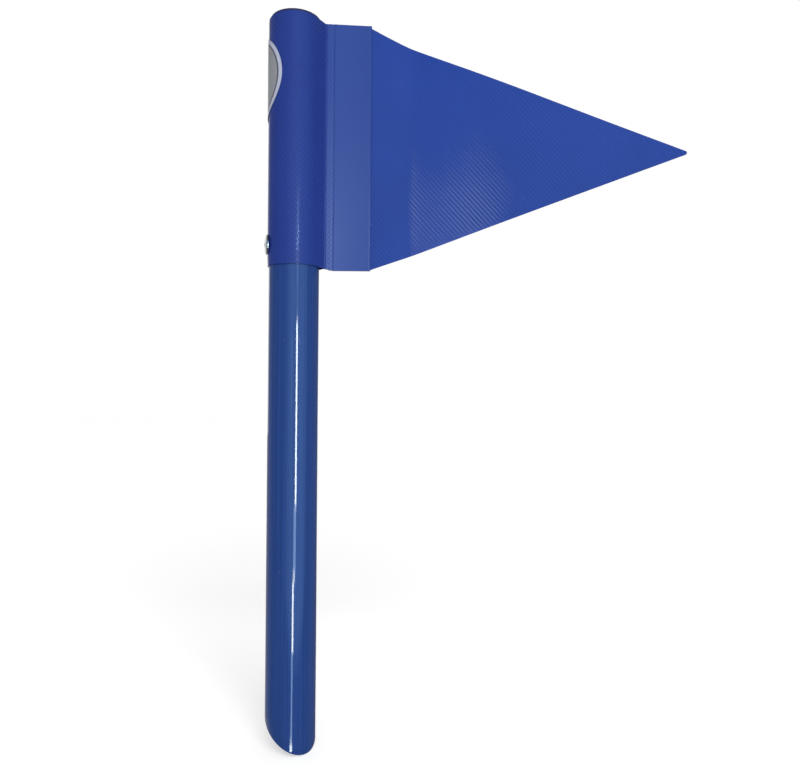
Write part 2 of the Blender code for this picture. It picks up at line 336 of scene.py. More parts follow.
class Effect:
    """A shader node group with named inputs and outputs, built once."""

    def __init__(self, name: str, inputs: dict[str, object], outputs: Sequence[str]) -> None:
        """Create the group's tree and sockets.

        Args:
            name: the group's name.
            inputs: each input's name with its default, a number or None for a vector.
            outputs: the names of the values that it puts out.
        """
        self.tree = bpy.data.node_groups.new(name, "ShaderNodeTree")
        for label, default in inputs.items():
            kind = "NodeSocketVector" if default is None else "NodeSocketFloat"
            socket = self.tree.interface.new_socket(label, in_out="INPUT", socket_type=kind)
            if default is not None:
                socket.default_value = default
        for label in outputs:
            self.tree.interface.new_socket(label, in_out="OUTPUT", socket_type="NodeSocketFloat")
        self.wiring = Wiring(self.tree)
        self.start = self.tree.nodes.new("NodeGroupInput").outputs
        self.end = self.tree.nodes.new("NodeGroupOutput").inputs

    def put_out(self, **values: object) -> NodeTree:
        """Join the results to the outputs, whose names are given with _ for a space, and return the tree."""
        for name, value in values.items():
            self.wiring.feed(self.end[name.replace("_", " ")], value)
        return self.tree


def thread_wave(w: Wiring, threads: object) -> Socket:
    """Return a wave that turns over once for each thread."""
    return w.maths("COSINE", w.times(threads, pi))


def plain_weave() -> NodeTree:
    """Build the plain weave: warp threads run along y and weft threads along x, one over, one under."""
    effect = Effect(
        "Plain weave",
        {
            "Place": None,
            "Warp Pitch": 0.0015,
            "Weft Pitch": 0.0016,
            "Roundness": 0.7,
            "Unevenness": 0.0,
            "Slant": 0.25,
        },
        ("Height", "Warp On Top"),
    )
    w, given = effect.wiring, effect.start
    sway = w.noise(given["Place"], 90.0, 1.0)
    offset = w.times(w.minus(sway, 0.5), given["Unevenness"])
    x, y, _ = w.parts(given["Place"])
    across = thread_wave(w, w.maths("DIVIDE", w.maths("ADD", x, offset), given["Warp Pitch"]))
    along = thread_wave(w, w.maths("DIVIDE", w.minus(y, offset), given["Weft Pitch"]))
    heights = {}
    for layer, own, other, side in ((Layer.WARP, across, along, 0.5), (Layer.WEFT, along, across, -0.5)):
        wave = w.times(w.times(w.maths("SIGN", own), other), side)
        crown = w.maths("POWER", w.maths("ABSOLUTE", own), given["Roundness"])
        heights[layer] = w.times_plus(crown, 0.5, wave)
    top = w.maths("SMOOTH_MAX", heights[Layer.WARP], heights[Layer.WEFT], 0.15)
    over = w.rise(w.minus(heights[Layer.WARP], heights[Layer.WEFT]), -0.1, 0.1)
    both = w.maths("ADD", w.maths("DIVIDE", x, given["Warp Pitch"]), w.maths("DIVIDE", y, given["Weft Pitch"]))
    slant = thread_wave(w, both)
    return effect.put_out(Height=w.times_plus(slant, given["Slant"], top), Warp_On_Top=over)


def handling() -> NodeTree:
    """Build the marks of use: soft patches, fine scuffs and specks of dust."""
    effect = Effect("Handling marks", {"Place": None, "Size": 1.0}, ("Patches", "Scuffs", "Specks"))
    w = effect.wiring
    place = w.vector("SCALE", effect.start["Place"])
    w.feed(place.node.inputs["Scale"], effect.start["Size"])
    patches = w.rise(w.noise(place, 22.0, 3.0), 0.3, 0.7)
    scratch_place = w.vector("MULTIPLY", place, (900.0, 900.0, 60.0))
    scratches = w.rise(w.noise(scratch_place, 1.0, 2.0, 0.6), 0.66, 0.74)
    where = w.rise(w.noise(place, 60.0, 2.0), 0.48, 0.66)
    dots = w.add("ShaderNodeTexVoronoi", feature="F1")
    w.feed_all(dots, Vector=place, Scale=260.0)
    dot = w.rise(dots.outputs["Distance"], 0.05, 0.11, 1.0, 0.0)
    chosen = w.rise(w.noise(place, 150.0, 0.0), 0.66, 0.7)
    return effect.put_out(
        Patches=patches,
        Scuffs=w.times(scratches, where),
        Specks=w.times(dot, chosen),
    )


def fine_grain() -> NodeTree:
    """Build the fine grain that a moulded, filmed or cast surface shows."""
    effect = Effect("Fine grain", {"Place": None, "Scale": 2500.0}, ("Grain", "Mottle"))
    w = effect.wiring
    grain = w.noise(effect.start["Place"], 1.0, 3.0, 0.6)
    w.feed(grain.node.inputs["Scale"], effect.start["Scale"])
    mottle = w.noise(effect.start["Place"], 1.0, 2.0, 0.5)
    w.feed(mottle.node.inputs["Scale"], w.times(effect.start["Scale"], 0.08))
    return effect.put_out(Grain=grain, Mottle=mottle)


@dataclass(frozen=True)
class Effects:
    """The node groups that the finishes share."""

    weave: NodeTree
    handling: NodeTree
    grain: NodeTree

    @classmethod
    def build(cls) -> "Effects":
        """Build each group once."""
        return cls(plain_weave(), handling(), fine_grain())


@dataclass(frozen=True)
class Finish:
    """What every finish has: a name, the shared effects and a way to become a material."""

    name: str
    effects: Effects

    def material(self) -> Material:
        """Create the material and return it."""
        material = bpy.data.materials.new(self.name)
        material.use_nodes = True
        w = Wiring(material.node_tree)
        place = w.add("ShaderNodeTexCoord").outputs["Object"]
        own = w.add("ShaderNodeAttribute", attribute_name=OWN_PLACE).outputs["Vector"]
        self.wire(w, material.node_tree.nodes["Principled BSDF"], place, own)
        return material

    def wire(self, w: Wiring, shader: Node, place: Socket, own: Socket) -> None:
        """Join the finish's nodes to the shader.

        Args:
            w: the material's wiring.
            shader: its Principled shader.
            place: the place on the whole object.
            own: the place on the piece itself.
        """
        raise NotImplementedError


@dataclass(frozen=True)
class ExtrudedPlastic(Finish):
    """Glossy extruded tube with faint die lines, fine scuffs and a matt sawn end."""

    colour: Colour
    sawn_colour: Colour
    cut_point: Vector
    cut_normal: Vector
    gloss: float = 0.035
    ripple_depth: float = 0.00003
    die_line_depth: float = 0.0000003
    saw_line_depth: float = 0.0001

    def wire(self, w: Wiring, shader: Node, place: Socket, own: Socket) -> None:
        """Join the die lines, the scuffs and the sawn face."""
        x, y, z = w.parts(place)
        heading = w.maths("ARCTAN2", y, x)
        round_place = w.join(w.times(heading, 14.0), w.times(z, 3.0))
        lines = w.noise(round_place, 1.0, 4.0, 0.7)
        marks = w.group(self.effects.handling, Place=place, Size=1.0)
        sunk = w.vector("DOT_PRODUCT", w.vector("SUBTRACT", place, self.cut_point), self.cut_normal)
        sawn = w.rise(sunk, 0.00006, 0.00016, 1.0, 0.0)
        base = w.colour(w.rise(lines, 0.25, 0.75), scaled(self.colour, 0.82), scaled(self.colour, 1.25))
        base = w.colour(w.times(marks["Scuffs"], 0.25), base, self.sawn_colour)
        base = w.colour(w.times(marks["Specks"], 0.5), base, (0.45, 0.48, 0.5))
        base = w.colour(sawn, base, self.sawn_colour)
        w.feed(shader.inputs["Base Color"], base)
        wear_and_painted_light = w.times_plus(marks["Scuffs"], 0.3, self.gloss)
        uneven = w.times_plus(marks["Patches"], 0.03, wear_and_painted_light)
        rough = w.larger(uneven, w.times(sawn, 0.62), clamp=True)
        w.feed(shader.inputs["Roughness"], rough)
        saw_place = w.vector("MULTIPLY", place, (900.0, 900.0, 2600.0))
        saw_lines = w.times(w.noise(saw_place, 1.0, 2.0), sawn)
        ripple = w.noise(w.vector("MULTIPLY", place, (30.0, 30.0, 12.0)), 1.0, 1.0)
        normal = w.bump(ripple, self.ripple_depth)
        normal = w.bump(lines, self.die_line_depth, 1.0, normal)
        normal = w.bump(saw_lines, self.saw_line_depth, 1.0, normal)
        w.feed(shader.inputs["Normal"], normal)
        shader.inputs["IOR"].default_value = 1.5


@dataclass(frozen=True)
class CoatedCloth(Finish):
    """Plastic-coated plain weave, pressed smooth and matt where it is welded."""

    colour: Colour
    thread_depth: float
    slant: float
    valley_mattness: float
    pressed_colour: Colour = display_colour(55, 82, 162)
    # Painted highlight: the lighter colour of the dots and of the lower part beside the welds.
    painted_highlight_colour: Colour = display_colour(112, 132, 195)
    warp_pitch: float = 0.00151
    weft_pitch: float = 0.00165
    thread_sway: float = 0.0003
    welds: Sequence[tuple[float, float]] = ()
    weld_blur: float = 0.0002
    pale_lead: float = 0.0
    # Heights between which the painted highlight beside the welds grows, from none above to full below.
    highlight_fades_above: float = 0.44
    highlight_full_below: float = 0.31
    gloss: float = 0.12
    weft_mattness: float = 0.0
    specular_level: float = 0.2
    grain_depth: float = 0.0000008

    def banded(self, w: Wiring, run: Socket, lead: float = 0.0) -> Socket | float:
        """Return the mask of the welded bands.

        Args:
            w: the material's wiring.
            run: the place along the cloth, counted from the strip's middle.
            lead: how much sooner each band starts than its weld does.

        Returns:
            1 in the bands and 0 elsewhere.
        """
        mask: Socket | float = 0.0
        for start, end in self.welds:
            low, high = sorted((start - copysign(lead, start), end))
            blur = self.weld_blur
            inside = w.times(w.rise(run, low - blur, low + blur), w.rise(run, high - blur, high + blur, 1.0, 0.0))
            mask = inside if isinstance(mask, float) else w.larger(mask, inside)
        return mask

    def wire(self, w: Wiring, shader: Node, place: Socket, own: Socket) -> None:
        """Join the threads, the welded bands, the marks of use, painted shade in the thread valleys and painted
        highlight beside the welds.
        """
        weave = w.group(
            self.effects.weave,
            Place=own,
            Warp_Pitch=self.warp_pitch,
            Weft_Pitch=self.weft_pitch,
            Unevenness=self.thread_sway,
            Slant=self.slant,
        )
        marks = w.group(self.effects.handling, Place=place, Size=0.6)
        grain = w.group(self.effects.grain, Place=own, Scale=3000.0)
        run = w.parts(own)[0]
        pressed = self.banded(w, run)
        paler = self.banded(w, run, self.pale_lead)
        height = weave["Height"]
        valley = w.rise(height, 0.3, 1.1, 1.0, 0.0)
        # A darker colour: painted shade in the thread valleys, and also the cloth's random mottle.
        shade_and_mottle_colour = scaled(self.colour, 0.8)
        base = w.colour(marks["Patches"], self.colour, scaled(self.colour, 1.12))
        # Painted shade: the weave's valleys are darker.
        base = w.colour(w.times(valley, 0.12), base, shade_and_mottle_colour)
        # The strip before each weld also takes the pressed colour, and there it stands for painted highlight.
        base = w.colour(paler, base, self.pressed_colour)
        # Painted highlight: lighter dots on the thread crowns of the strip before each weld, and the welded band and
        # that strip lighter towards the bottom.
        lower = w.rise(w.parts(place)[2], self.highlight_fades_above, self.highlight_full_below)
        crown_glints = w.times(w.minus(paler, pressed), w.rise(height, -0.4, 1.0), clamp=True)
        wear_and_painted_light = w.times(w.times_plus(crown_glints, 0.3, w.times(paler, 0.1)), lower)
        base = w.colour(w.times_plus(crown_glints, 0.05, wear_and_painted_light), base, self.painted_highlight_colour)
        base = w.colour(w.times(grain["Mottle"], 0.12), base, shade_and_mottle_colour)
        base = w.colour(w.times(marks["Specks"], 0.12), base, (0.2, 0.25, 0.5))
        w.feed(shader.inputs["Base Color"], base)
        left = w.times_plus(pressed, -0.9, 1.0)
        rough = w.times_plus(grain["Mottle"], 0.06, self.gloss - 0.03)
        rough = w.times_plus(w.times(valley, left), self.valley_mattness, rough)
        weft = w.minus(1.0, weave["Warp On Top"])
        rough = w.times_plus(w.times(weft, left), self.weft_mattness, rough)
        rough = w.times_plus(pressed, 0.25, rough, clamp=True)
        w.feed(shader.inputs["Roughness"], rough)
        shader.inputs["Specular IOR Level"].default_value = self.specular_level
        normal = w.bump(w.times(height, left), self.thread_depth)
        normal = w.bump(grain["Grain"], self.grain_depth, 1.0, normal)
        w.feed(shader.inputs["Normal"], normal)
        shader.inputs["IOR"].default_value = 1.45


@dataclass(frozen=True)
class LabelFilm(Finish):
    """Blank film: a pale rim, a plain dark ring and a grey field, slightly dusty."""

    radius: float
    rim: float
    ring: float
    rim_colour: Colour
    ring_colour: Colour
    field_colour: Colour
    edge_blur: float = 0.00008

    def wire(self, w: Wiring, shader: Node, place: Socket, own: Socket) -> None:
        """Join the rim, the ring, the field and the dust."""
        away = w.vector("LENGTH", own)
        grain = w.group(self.effects.grain, Place=own, Scale=4000.0)
        marks = w.group(self.effects.handling, Place=place, Size=1.5)
        edge = self.edge_blur
        ring_outside = self.radius - self.rim
        ring_inside = ring_outside - self.ring
        in_rim = w.rise(away, ring_outside - edge, ring_outside + edge)
        in_field = w.rise(away, ring_inside - edge, ring_inside + edge, 1.0, 0.0)
        base = w.colour(in_rim, self.ring_colour, self.rim_colour)
        base = w.colour(in_field, base, self.field_colour)
        dull = scaled(self.field_colour, 0.8)
        base = w.colour(w.times(marks["Patches"], 0.2), base, dull)
        base = w.colour(w.times(grain["Mottle"], 0.12), base, dull)
        cut_edge = w.rise(away, self.radius - 0.0004, self.radius)
        base = w.colour(w.times(cut_edge, 0.35), base, dull)
        w.feed(shader.inputs["Base Color"], base)
        rough = w.times_plus(marks["Patches"], 0.12, 0.32)
        w.feed(shader.inputs["Roughness"], w.times_plus(marks["Scuffs"], 0.2, rough, clamp=True))
        normal = w.bump(grain["Mottle"], 0.00004, 0.6)
        w.feed(shader.inputs["Normal"], w.bump(grain["Grain"], 0.000004, 1.0, normal))


@dataclass(frozen=True)
class MouldedPlastic(Finish):
    """Satin moulding with fine grain, knocked on its crown."""

    colour: Colour
    knocked_colour: Colour
    crown_height: float

    def wire(self, w: Wiring, shader: Node, place: Socket, own: Socket) -> None:
        """Join the grain, the knocks on the crown and the dust."""
        grain = w.group(self.effects.grain, Place=own, Scale=2600.0)
        marks = w.group(self.effects.handling, Place=place, Size=2.0)
        _, _, height = w.parts(own)
        crown = w.rise(height, self.crown_height - 0.0006, self.crown_height)
        knocks = w.times(crown, w.rise(w.noise(place, 500.0, 3.0, 0.6), 0.52, 0.68))
        base = w.colour(w.times(grain["Mottle"], 0.4), self.colour, self.knocked_colour)
        base = w.colour(w.times(knocks, 0.6), base, self.knocked_colour)
        base = w.colour(w.times(marks["Specks"], 0.5), base, (0.4, 0.42, 0.45))
        w.feed(shader.inputs["Base Color"], base)
        rough = w.times_plus(grain["Mottle"], 0.12, 0.4)
        w.feed(shader.inputs["Roughness"], w.times_plus(knocks, 0.15, rough, clamp=True))
        normal = w.bump(grain["Grain"], 0.00002, 0.7)
        w.feed(shader.inputs["Normal"], w.bump(knocks, 0.00006, 0.8, normal))


@dataclass(frozen=True)
class TurnedMetal(Finish):
    """Headed or drawn metal with rings about its axis, and a rough break where one is given."""

    colour: Colour
    dull_colour: Colour
    gloss: float
    break_height: float | None = None

    def wire(self, w: Wiring, shader: Node, place: Socket, own: Socket) -> None:
        """Join the rings, the tarnish and the broken face."""
        x, y, height = w.parts(own)
        away = w.maths("SQRT", w.times_plus(x, x, w.times(y, y)))
        rings = w.noise(w.join(w.times(away, 9000.0), w.times(height, 3000.0)), 1.0, 2.0)
        grain = w.group(self.effects.grain, Place=own, Scale=5000.0)
        marks = w.group(self.effects.handling, Place=place, Size=3.0)
        tarnish = w.times(grain["Mottle"], 0.45)
        base = w.colour(tarnish, self.colour, self.dull_colour)
        base = w.colour(w.times(marks["Patches"], 0.25), base, self.dull_colour)
        w.feed(shader.inputs["Base Color"], base)
        rough = w.times_plus(rings, 0.12, self.gloss)
        relief = rings
        if self.break_height is not None:
            broken = w.rise(height, self.break_height - 0.0002, self.break_height)
            rough = w.larger(rough, w.times(broken, 0.6))
            relief = w.times_plus(w.times(grain["Grain"], broken), 6.0, rings)
        w.feed(shader.inputs["Roughness"], rough)
        w.feed(shader.inputs["Normal"], w.bump(relief, 0.00001, 0.6))
        shader.inputs["Metallic"].default_value = 1.0


# Pieces


@dataclass(frozen=True)
class SharedSizes:
    """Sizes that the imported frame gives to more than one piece."""

    post_radius: float
    post_top: float
    plug_top: float
    wrap_radius: float
    wrap_bottom: float
    flap_end: float
    pennant_inner: float
    pennant_bottom: float
    pennant_top: float
    post_wall: float = 0.0024
    seat_gap: float = 0.0003
    cloth: float = 0.0006

    @classmethod
    def from_frame(cls) -> "SharedSizes":
        """Read the nodes' boxes."""
        _, post_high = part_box("post_tube")
        _, plug_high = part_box("end_plug")
        sleeve_low, sleeve_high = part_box("sleeve")
        pennant_low, pennant_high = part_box("pennant")
        return cls(
            post_radius=post_high.x,
            post_top=post_high.z,
            plug_top=plug_high.z,
            wrap_radius=-sleeve_low.x,
            wrap_bottom=sleeve_low.z,
            flap_end=sleeve_high.x,
            pennant_inner=pennant_low.x,
            pennant_bottom=pennant_low.z,
            pennant_top=pennant_high.z,
        )


@dataclass
class SubAssembly:
    """A part of the flag that builds its meshes, dresses them and hangs them on the frame."""

    sizes: SharedSizes
    effects: Effects

    def place(self, piece: Object, node: str, slot: str) -> Object:
        """Let a piece stand for a CAD node, whose part it hides, and ride on the body.

        Args:
            piece: the finished piece.
            node: the CAD node that it replaces.
            slot: the record's material slot; not used.

        Returns:
            The same piece.
        """
        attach(piece, BODY)
        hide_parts(node)
        LOG.info("%s: %d faces", piece.name, len(piece.data.polygons))
        return piece


@dataclass
class Post(SubAssembly):
    """The extruded tube, sawn at a slant at its foot."""

    top_chamfer: float = 0.0003
    sawn_rounding: float = 0.00025
    mitre_slope: float = radians(36.7)
    mitre_heading: float = radians(-41.0)
    steps: int = 192
    rings: int = 24

    @property
    def cut_normal(self) -> Vector:
        """Return the saw cut's direction, into the post."""
        turn = Matrix.Rotation(self.mitre_heading, 3, "Z") @ Matrix.Rotation(self.mitre_slope, 3, "Y")
        return turn @ Vector((0, 0, 1))

    @property
    def cut_point(self) -> Vector:
        """Return the point where the saw cut crosses the post's axis."""
        return Vector((0, 0, self.sizes.post_radius * tan(self.mitre_slope)))

    def profile(self) -> Profile:
        """Return the wall's section, long enough below to be sawn."""
        outer = self.sizes.post_radius
        bore = outer - self.sizes.post_wall
        top = self.sizes.post_top
        foot = -outer
        chamfer = self.top_chamfer
        levels = [top - chamfer + (foot - top + chamfer) * ring / self.rings for ring in range(self.rings + 1)]
        return (
            [(bore + chamfer, top), (outer - chamfer, top)]
            + [(outer, level) for level in levels]
            + [(bore, level) for level in reversed(levels)]
        )

    def build(self) -> BMesh:
        """Spin the wall and saw its foot."""
        bm = spun(self.profile(), self.steps, closed=True)
        rims = [item for item in sliced(bm, self.cut_point, self.cut_normal, True) if isinstance(item, BMEdge)]
        bmesh.ops.bridge_loops(bm, edges=rims)
        bmesh.ops.recalc_face_normals(bm, faces=bm.faces)
        bmesh.ops.bevel(
            bm,
            geom=rims,
            affect="EDGES",
            offset=self.sawn_rounding,
            segments=2,
            profile=0.5,
            material=-1,
        )
        record_own_place(bm)
        return bm

    def dress(self) -> None:
        """Finish the tube and put it on the frame."""
        finish = ExtrudedPlastic(
            "Glossy extruded plastic",
            self.effects,
            colour=display_colour(41, 72, 139),
            sawn_colour=display_colour(70, 98, 150),
            cut_point=self.cut_point,
            cut_normal=self.cut_normal,
        )
        piece = finished("post_tube_dressed", self.build(), finish.material())
        self.place(piece, "post_tube", "post_plastic")


@dataclass
class EndPlug(SubAssembly):
    """The push-in plug with its crowned cap and finned barrel."""

    cap_rounding: float = 0.0007
    crown: float = 0.0003
    gate_radius: float = 0.0013
    gate_depth: float = 0.00025
    barrel_length: float = 0.0180
    barrel_wall: float = 0.0017
    fin_count: int = 4
    fin_reach: float = 0.0022
    fin_edge: float = 0.0007
    fin_root: float = 0.0016
    lead_in: float = 0.0012
    steps: int = 128

    def cap(self) -> list[tuple[float, float]]:
        """Return the cap's outline: the gate's dimple, the slight crown and the rounded edge."""
        outer = self.sizes.post_radius
        top = self.sizes.plug_top
        shoulder = top - self.crown
        rings = 10
        points = [(0.0, top - self.gate_depth), (self.gate_radius * 0.7, top - self.gate_depth)]
        for ring in range(rings + 1):
            radius = self.gate_radius + (outer - self.cap_rounding - self.gate_radius) * ring / rings
            points.append((radius, shoulder + self.crown * (1 - (radius / (outer - self.cap_rounding)) ** 2)))
        turns = 6
        for turn in range(1, turns + 1):
            angle = pi / 2 * turn / turns
            points.append((
                outer - self.cap_rounding * (1 - sin(angle)),
                shoulder - self.cap_rounding * (1 - cos(angle)),
            ))
        return points

    def build(self) -> BMesh:
        """Spin the cap, the barrel with its fins and the hollow inside it."""
        seat = self.sizes.post_top + self.sizes.seat_gap
        fin_radius = self.sizes.post_radius - self.sizes.post_wall - self.sizes.seat_gap
        barrel = fin_radius - self.fin_reach
        hollow = barrel - self.barrel_wall
        foot = self.sizes.post_top - self.barrel_length
        profile = self.cap() + [(self.sizes.post_radius, seat), (barrel, seat)]
        pitch = self.barrel_length / (self.fin_count + 1)
        for fin in range(self.fin_count):
            middle = self.sizes.post_top - pitch * (fin + 1)
            profile += [
                (barrel, middle + self.fin_root / 2),
                (fin_radius, middle + self.fin_edge / 2),
                (fin_radius, middle - self.fin_edge / 2),
                (barrel, middle - self.fin_root / 2),
            ]
        profile += [(barrel, foot + self.lead_in), (barrel - self.lead_in / 2, foot), (hollow, foot)]
        profile += [(hollow, seat), (0.0, seat)]
        bm = spun(profile, self.steps)
        record_own_place(bm)
        return bm

    def dress(self) -> None:
        """Finish the plug and put it on the frame."""
        finish = MouldedPlastic(
            "Satin moulded plastic",
            self.effects,
            colour=display_colour(34, 37, 78),
            knocked_colour=display_colour(62, 68, 108),
            crown_height=self.sizes.plug_top,
        )
        piece = finished("end_plug_dressed", self.build(), finish.material())
        self.place(piece, "end_plug", "plug_plastic")


@dataclass
class Sleeve(SubAssembly):
    """One strip of coated cloth wrapped round the post, its two ends welded over the pennant as flaps."""

    throat: float = 0.0030
    crease_radius: float = 0.0015
    top_fall: float = 0.0012
    weld_from_crease: float = 0.0058
    weld_width: float = 0.0234
    groove: float = 0.00020
    bead: float = 0.00018
    bead_width: float = 0.0010
    foot_rise: float = 0.0017
    foot_draw: float = 0.0002
    foot_draw_height: float = 0.006
    pale_from_crease: float = 0.0014
    arc_step: float = radians(2.0)
    rows: int = 26

    @property
    def crease_x(self) -> float:
        """Return how far from the post's axis the front and the back meet."""
        return self.sizes.post_radius + self.throat

    @property
    def flap_y(self) -> float:
        """Return how far a flap's middle lies from the mid-plane."""
        return self.sizes.cloth + self.sizes.seat_gap

    @property
    def weld(self) -> tuple[float, float]:
        """Return the X places where the weld begins and ends."""
        start = self.crease_x + self.weld_from_crease
        return start, start + self.weld_width

    def wrap(self) -> list[Vector]:
        """Return half of the cloth's middle line, from behind the post to the end of the crease's arc."""
        radius = self.sizes.wrap_radius - self.sizes.cloth / 2
        crease = Vector((self.crease_x, -self.flap_y, 0))
        leave = atan2(self.flap_y, self.crease_x) + acos(radius / hypot(crease.x, crease.y))
        steps = ceil((pi - leave) / self.arc_step)
        angles = [pi - (pi - leave) * step / steps for step in range(steps + 1)]
        points = [Vector((radius * cos(angle), -radius * sin(angle), 0)) for angle in angles]
        end = Vector((self.sizes.flap_end, -self.flap_y, 0))
        return points + arc_corner(points[-1], crease, end, self.crease_radius, 8)

    def flap(self) -> list[Vector]:
        """Return the flap's middle line from the crease to its edge, with the weld's groove and beads."""
        start, end = self.weld
        stations = [
            (start - 2 * self.bead_width, 0.0),
            (start - self.bead_width, self.groove * -0.2),
            (start - self.bead_width / 2, -self.groove),
            (start, 0.0),
            (start + self.bead_width / 2, self.bead),
            (start + self.bead_width, self.bead * 0.8),
            (start + 1.6 * self.bead_width, 0.0),
            (end - 1.6 * self.bead_width, 0.0),
            (end - self.bead_width, self.bead * 0.6),
            (end - self.bead_width / 2, self.bead * 0.8),
        ]
        stations = [station for station in stations if station[0] < self.sizes.flap_end]
        line = [Vector((x, -self.flap_y - out, 0)) for x, out in stations]
        return line + [Vector((self.sizes.flap_end, -self.flap_y, 0))]

    def top(self, x: float) -> float:
        """Return the height of the top edge, which falls away along the flap."""
        fall = self.top_fall * max(0.0, x - self.crease_x) / (self.sizes.flap_end - self.crease_x)
        return self.sizes.post_top - fall

    def foot(self, x: float) -> float:
        """Return the height of the lower edge, which the welded flaps pull down a little."""
        return self.sizes.wrap_bottom + self.foot_rise * smooth_step(x, self.weld[0], self.sizes.post_radius)

    def runs(self, line: Sequence[Vector]) -> list[float]:
        """Return each point's distance along the cloth from the strip's middle."""
        runs = [0.0]
        for before, after in zip(line, line[1:]):
            runs.append(runs[-1] + (after - before).length)
        return runs

    def build(self) -> tuple[BMesh, tuple[float, float]]:
        """Build the cloth's middle surface.

        Returns:
            The mesh, and the weld's start and end as distances along the cloth.
        """
        line = self.wrap() + self.flap()
        line[0].y = 0.0
        runs = self.runs(line)
        bm = bmesh.new()
        layer = own_layer(bm)
        edges = chain(bm, line)
        for vert, run in zip(bm.verts, runs):
            vert[layer] = Vector((run, 0, 0))
        bmesh.ops.mirror(bm, geom=bm.verts[:] + edges, axis="Y", merge_dist=MERGE_DISTANCE)
        for vert in bm.verts:
            if vert.co.y > 0:
                vert[layer] = Vector((-vert[layer].x, 0, 0))
            vert.co.z = self.foot(vert.co.x)
        front = bm.edges[:]
        shares = [0.25 / self.rows, *(row / self.rows for row in range(1, self.rows + 1))]
        for share in shares:
            raised = bmesh.ops.extrude_edge_only(bm, edges=front)["geom"]
            front = [item for item in raised if isinstance(item, BMEdge)]
            for vert in (item for item in raised if isinstance(item, BMVert)):
                low = self.foot(vert.co.x)
                vert.co.z = low + (self.top(vert.co.x) - low) * share
        for vert in bm.verts:
            vert[layer] = Vector((vert[layer].x, vert.co.z, 0))
            above = vert.co.z - self.foot(vert.co.x)
            beside = smooth_step(vert.co.x, self.sizes.post_radius, 0.6 * self.sizes.post_radius)
            draw = self.foot_draw * smooth_step(above, self.foot_draw_height, 0.0) * beside
            vert.co.xy *= 1 - draw / vert.co.xy.length
        bmesh.ops.recalc_face_normals(bm, faces=bm.faces)
        flap_run = runs[len(self.wrap()) - 1] - line[len(self.wrap()) - 1].x
        start, end = self.weld
        return bm, (start + flap_run, end + flap_run)

    def dress(self) -> Object:
        """Finish the sleeve and put it on the frame."""
        bm, (weld_start, weld_end) = self.build()
        finish = CoatedCloth(
            "Wrapped coated cloth",
            self.effects,
            colour=display_colour(42, 64, 145),
            welds=((weld_start, weld_end), (-weld_start, -weld_end)),
            pale_lead=self.weld_from_crease - self.pale_from_crease,
            valley_mattness=0.0,
            weft_mattness=0.25,
            thread_depth=0.000016,
            slant=0.5,
        )
        piece = finished("sleeve_cloth", bm, finish.material())
        thicken(piece, self.sizes.cloth, 0.0)
        self.place(piece, "sleeve", "sleeve_cloth")
        return piece


